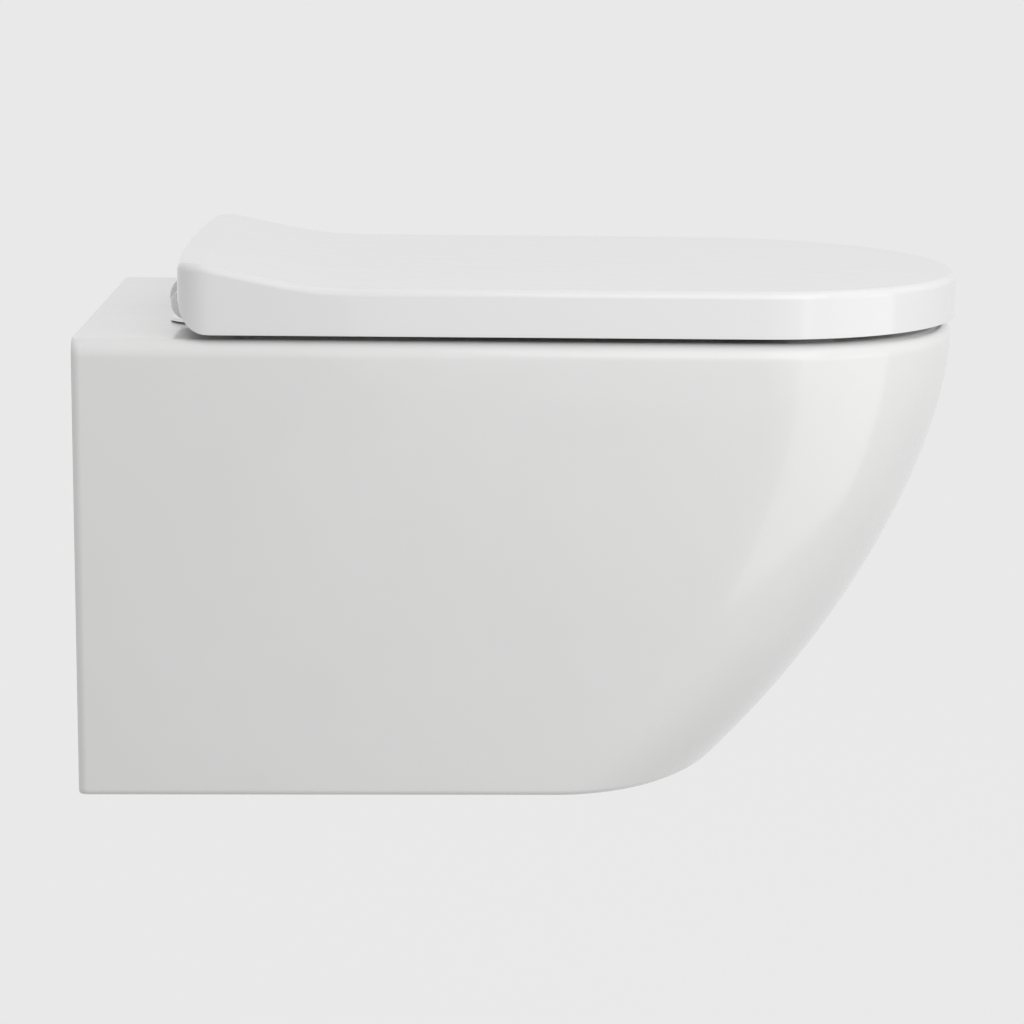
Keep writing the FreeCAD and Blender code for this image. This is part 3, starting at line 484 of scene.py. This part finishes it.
LID_HALF, LID_REAR, LID_REACH, LID_NOSE, LID_CORNER = 178.0, 61.0, 540.0, 142.0, 18.0
LID_GAP, LID_TOP, LID_SKIN, LID_EDGE, LID_HEEL, LID_BOW = 3.2, 31.0, 4.0, 5.0, 17.0, 5.5
RAMP_END, RAMP_TOP, RAMP_R, RAMP_ANGLE = 164.0, 74.1, 250.0, math.radians(11.3)
LID_LUG_IN, LID_LUG_OUT, NOTCH_UP = 92.0, 130.0, 30.5


def lid_height(out):
    """The lid's top: flat from the front, then a soft bend up to a ramp at the back."""
    if out >= RAMP_END:
        return LID_TOP
    bend_end = RAMP_END - RAMP_R * math.sin(RAMP_ANGLE)
    if out >= bend_end:
        return LID_TOP + RAMP_R - math.sqrt(RAMP_R ** 2 - (RAMP_END - out) ** 2)
    ramp = (bend_end - max(out, RAMP_TOP)) * math.tan(RAMP_ANGLE)
    return LID_TOP + RAMP_R * (1 - math.cos(RAMP_ANGLE)) + ramp


def lid_foot(out):
    """The lid's lower edge, rounded up at the heel."""
    reach = max(0.0, LID_REAR + LID_HEEL - out)
    return LID_GAP + LID_HEEL - math.sqrt(LID_HEEL ** 2 - min(reach, LID_HEEL) ** 2)


def lid_loop(inset, height):
    """One loop of the lid's skin; the height is a function of the place along the lid."""
    outline = plan(LID_HALF - inset, LID_REAR + inset, LID_REACH - inset, LID_NOSE - inset,
                   max(LID_CORNER - inset, 1.0), 70)
    loop = []
    for x, y in outline:
        fade = max(0.0, 1 - (y - LID_REAR - inset) / 60)
        bowed = y - LID_BOW * (1 - (x / LID_HALF) ** 2) * fade ** 2
        loop.append(at(x, bowed, height(bowed)))
    return loop


skirt = []
for inset, rise in ((0.4, 0.0), (0.12, 0.12), (0.0, 0.4)):
    skirt.append(lid_loop(inset, lambda y, rise=rise: lid_foot(y) + rise))
for share in (0.25, 0.5, 0.75):
    skirt.append(lid_loop(0.0, lambda y, share=share: (lid_foot(y) + 0.4) * (1 - share)
                          + (lid_height(y) - LID_EDGE) * share))
for a in range(0, 91, 9):
    turn = math.radians(a)
    skirt.append(lid_loop(LID_EDGE * (1 - math.cos(turn)),
                          lambda y, turn=turn: lid_height(y) - LID_EDGE * (1 - math.sin(turn))))
inner = []
for inset, rise in ((3.3, 0.0), (3.75, 0.2), (LID_SKIN, 0.7)):
    inner.append(lid_loop(inset, lambda y, rise=rise: lid_foot(y) + rise))
for a in range(0, 91, 15):
    turn = math.radians(a)
    inner.append(lid_loop(LID_SKIN + 3.0 * (1 - math.cos(turn)),
                          lambda y, turn=turn: lid_height(y) - LID_SKIN - 3.0 * (1 - math.sin(turn))))
count = len(skirt[0])
middle = count // 2
loops = list(reversed(inner)) + skirt
faces = strips(len(loops), count)
# the top and its under side are filled with strips that run straight across from side to side
for base in (0, (len(loops) - 1) * count):
    faces.append((base, base + 1, base + count - 1))
    faces += [(base + i, base + i + 1, base + count - i - 1, base + count - i) for i in range(1, middle - 1)]
    faces.append((base + middle - 1, base + middle, base + middle + 1))
lid = shell("lid", loops, faces)
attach(lid, "lid")
lid.data.materials.append(thermoset)
carve(lid, [box("notch", (-LID_LUG_IN, LID_LUG_IN), (LID_REAR - 9, LID_REAR + LID_SKIN + 4),
                (-10.0, NOTCH_UP))])
lugs = []
for side in (-1, 1):
    lugs.append(lug("lid_lug", side, LID_LUG_IN, LID_LUG_OUT, LUG_R))
    lugs.append(box("lid_web", sorted((side * (LID_LUG_IN + 1), side * (LID_LUG_OUT - 1))),
                    (AXIS_OUT, AXIS_OUT + LUG_R), (AXIS_UP, lid_height(AXIS_OUT + LUG_R) - 2.0)))
for shape in lugs:
    shape.data.materials.append(thermoset)
carve(lid, lugs, "UNION")
carve(lid, [round_bar("lug_bore", (side * (LID_LUG_IN - 1), AXIS_OUT, AXIS_UP),
                      (side * (LID_LUG_OUT - 2.4), AXIS_OUT, AXIS_UP), LUG_BORE) for side in (-1, 1)])
soften(lid)
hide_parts("lid_cover")

# ---------------------------------------------------------------- the studio
# A pale floor well below the pan, which hangs clear of it, four soft lamps and an even pale surround.
# The camera looks at the pan's left side from a little above the deck.

FLOOR_LEVEL = -0.62
PALE, FLOOR_TONE, FLOOR_SEEN = ((tone, tone, tone, 1) for tone in (0.8148, 0.45, 0.872))
SURROUND_STRENGTH = 0.67


def plainly_seen(nodes, links, share):
    """A share for the rays that look straight at a thing, or at its mirror or glass image."""
    ray = nodes.new("ShaderNodeLightPath")
    mirrored = nodes.new("ShaderNodeMath")
    mirrored.operation = "MAXIMUM"
    links.new(ray.outputs["Is Glossy Ray"], mirrored.inputs[0])
    links.new(ray.outputs["Is Transmission Ray"], mirrored.inputs[1])
    either = nodes.new("ShaderNodeMath")
    either.operation = "MAXIMUM"
    links.new(ray.outputs["Is Camera Ray"], either.inputs[0])
    links.new(mirrored.outputs[0], either.inputs[1])
    scaled = nodes.new("ShaderNodeMath")
    scaled.operation = "MULTIPLY"
    scaled.inputs[1].default_value = share
    links.new(either.outputs[0], scaled.inputs[0])
    return scaled.outputs[0]


ground = bpy.data.meshes.new("floor")
ground.from_pydata([(x, y, FLOOR_LEVEL) for x, y in ((-30, -30), (30, -30), (30, 30), (-30, 30))],
                   [], [(0, 1, 2, 3)])
floor = bpy.data.objects.new("floor", ground)
scene.collection.objects.link(floor)
paint = bpy.data.materials.new("floor_paint")
paint.use_nodes = True
nodes, links = paint.node_tree.nodes, paint.node_tree.links
nodes.clear()
result = nodes.new("ShaderNodeOutputMaterial")
mix = nodes.new("ShaderNodeMixShader")
matt = nodes.new("ShaderNodeBsdfDiffuse")
glow = nodes.new("ShaderNodeEmission")
seen = plainly_seen(nodes, links, 0.9)
matt.inputs["Color"].default_value = FLOOR_TONE
glow.inputs["Color"].default_value = FLOOR_SEEN
links.new(seen, mix.inputs[0])
links.new(matt.outputs[0], mix.inputs[1])
links.new(glow.outputs[0], mix.inputs[2])
links.new(mix.outputs[0], result.inputs[0])
ground.materials.append(paint)

surround = bpy.data.worlds.new("surround")
surround.use_nodes = True
scene.world = surround
nodes, links = surround.node_tree.nodes, surround.node_tree.links
sky = nodes["Background"]
sky.inputs["Strength"].default_value = SURROUND_STRENGTH
sky.inputs["Color"].default_value = (1, 1, 1, 1)
backdrop = nodes.new("ShaderNodeBackground")
backdrop.inputs["Color"].default_value = PALE
mix = nodes.new("ShaderNodeMixShader")
links.new(plainly_seen(nodes, links, 1.0), mix.inputs[0])
links.new(sky.outputs[0], mix.inputs[1])
links.new(backdrop.outputs[0], mix.inputs[2])
links.new(mix.outputs[0], nodes["World Output"].inputs[0])


def lamp(name, place, aim, size, power):
    """A square soft lamp turned towards a point."""
    light = bpy.data.lights.new(name, "AREA")
    light.size, light.energy = size, power
    head = bpy.data.objects.new(name, light)
    scene.collection.objects.link(head)
    head.location = place
    head.visible_camera = False
    head.rotation_euler = (Vector(aim) - Vector(place)).to_track_quat("-Z", "Y").to_euler()


lamp("nose_lamp", (-0.6, -1.3, -0.2), (0, -0.4, -0.1), 1.2, 3.1)
lamp("front_lamp", (-0.55, -1.0, 0.55), (0, -0.35, 0), 1.0, 0.5)
lamp("side_lamp", (-0.9, -0.75, 0.8), (0, -0.45, 0.1), 1.0, 2.7)
lamp("flank_lamp", (-1.1, -0.6, 0.3), (0, -0.3, 0), 1.0, 1.5)

lens = bpy.data.cameras.new("camera")
lens.sensor_width, lens.lens = 36, 100.40
camera = bpy.data.objects.new("camera", lens)
scene.collection.objects.link(camera)
camera.matrix_world = (Matrix.Translation((-1.8094, -0.1856, 0.2866))
                       @ Matrix.Rotation(math.radians(-92.41), 4, "Z")
                       @ Matrix.Rotation(math.radians(90 - 10.59), 4, "X")
                       @ Matrix.Rotation(math.radians(0.75), 4, "Z"))
scene.camera = camera
scene.view_settings.view_transform = "Standard"
